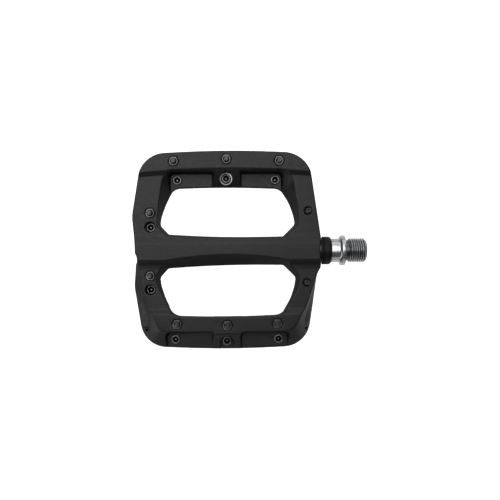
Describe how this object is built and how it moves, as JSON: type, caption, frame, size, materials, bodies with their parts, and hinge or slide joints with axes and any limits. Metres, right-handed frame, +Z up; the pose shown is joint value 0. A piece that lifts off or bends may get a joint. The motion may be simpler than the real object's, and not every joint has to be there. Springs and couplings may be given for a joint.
{
  "type": "flat pedal",
  "caption": "Right-hand bicycle platform pedal: moulded frame with two windows and traction pins, turning on a steel spindle with a crank thread.",
  "frame": {"origin": "on the spindle axis, at the centre of the flange seat that tightens against the crank arm", "axes": "+X along the spindle towards the crank, +Y to the rear of the platform as it lies, +Z up, square to the platform's faces"},
  "size_m": [0.1364, 0.116, 0.024],
  "materials": {
    "moulded_nylon": "black glass-filled nylon, fine matte moulded grain, slightly worn edges",
    "plated_steel": "bright zinc-nickel plated forged steel, turned",
    "seal_collar": "black moulded rubber, semi-matte",
    "bush_polymer": "dry-running polymer bearing material, dark grey",
    "bearing_steel": "ground and polished bearing steel",
    "cage_steel": "pressed steel",
    "shield_steel": "pressed steel shield",
    "zinc_steel": "zinc-plated steel",
    "cap_plastic": "black moulded nylon",
    "o_ring_rubber": "black nitrile rubber",
    "bright_washer": "plain steel washer, bright",
    "black_nut": "black-oxide steel, bright at the worn chamfer",
    "black_screw": "black-oxide steel",
    "black_grub": "black-oxide steel"
  },
  "bodies": {
    "axle": {"spindle": "plated_steel", "inboard_seal": "seal_collar", "bearing_inner_race": "bearing_steel", "spindle_washer": "zinc_steel", "spindle_locknut": "zinc_steel"},
    "platform": {"bearing_outer_race": "bearing_steel", "bearing_shield_inboard": "shield_steel", "bearing_shield_outboard": "shield_steel", "end_cap": "cap_plastic", "end_cap_o_ring": "o_ring_rubber", "grub_pin_bottom_front": "black_grub", "grub_pin_bottom_rear": "black_grub", "grub_pin_top_front": "black_grub", "grub_pin_top_rear": "black_grub", "inboard_bush": "bush_polymer", "pin_bottom_arm_front": "black_screw", "pin_bottom_arm_rear": "black_screw", "pin_bottom_front_centre": "black_screw", "pin_bottom_front_left": "black_screw", "pin_bottom_front_right": "black_screw", "pin_bottom_rear_centre": "black_screw", "pin_bottom_rear_left": "black_screw", "pin_bottom_rear_right": "black_screw", "pin_nut_bottom_arm_front": "black_nut", "pin_nut_bottom_arm_rear": "black_nut", "pin_nut_bottom_front_centre": "black_nut", "pin_nut_bottom_front_left": "black_nut", "pin_nut_bottom_front_right": "black_nut", "pin_nut_bottom_rear_centre": "black_nut", "pin_nut_bottom_rear_left": "black_nut", "pin_nut_bottom_rear_right": "black_nut", "pin_nut_top_arm_front": "black_nut", "pin_nut_top_arm_rear": "black_nut", "pin_nut_top_front_centre": "black_nut", "pin_nut_top_front_left": "black_nut", "pin_nut_top_front_right": "black_nut", "pin_nut_top_rear_centre": "black_nut", "pin_nut_top_rear_left": "black_nut", "pin_nut_top_rear_right": "black_nut", "pin_top_arm_front": "black_screw", "pin_top_arm_rear": "black_screw", "pin_top_front_centre": "black_screw", "pin_top_front_left": "black_screw", "pin_top_front_right": "black_screw", "pin_top_rear_centre": "black_screw", "pin_top_rear_left": "black_screw", "pin_top_rear_right": "black_screw", "pin_washer_bottom": "bright_washer", "pin_washer_top": "bright_washer", "platform_body": "moulded_nylon"},
    "ball_train": {"bearing_balls": "bearing_steel", "bearing_cage": "cage_steel"}
  },
  "joints": [
    {"name": "pedal_spin", "type": "hinge", "parent": "axle", "child": "platform", "pos_m": [-0.0692, 0, 0], "axis": [1, 0, 0], "continuous": true},
    {"name": "ball_train_spin", "type": "hinge", "parent": "axle", "child": "ball_train", "pos_m": [-0.1117, 0, 0], "axis": [1, 0, 0], "continuous": true}
  ],
  "couplings": [
    {"joint": "ball_train_spin", "follows": "pedal_spin", "ratio": 0.6263}
  ]
}
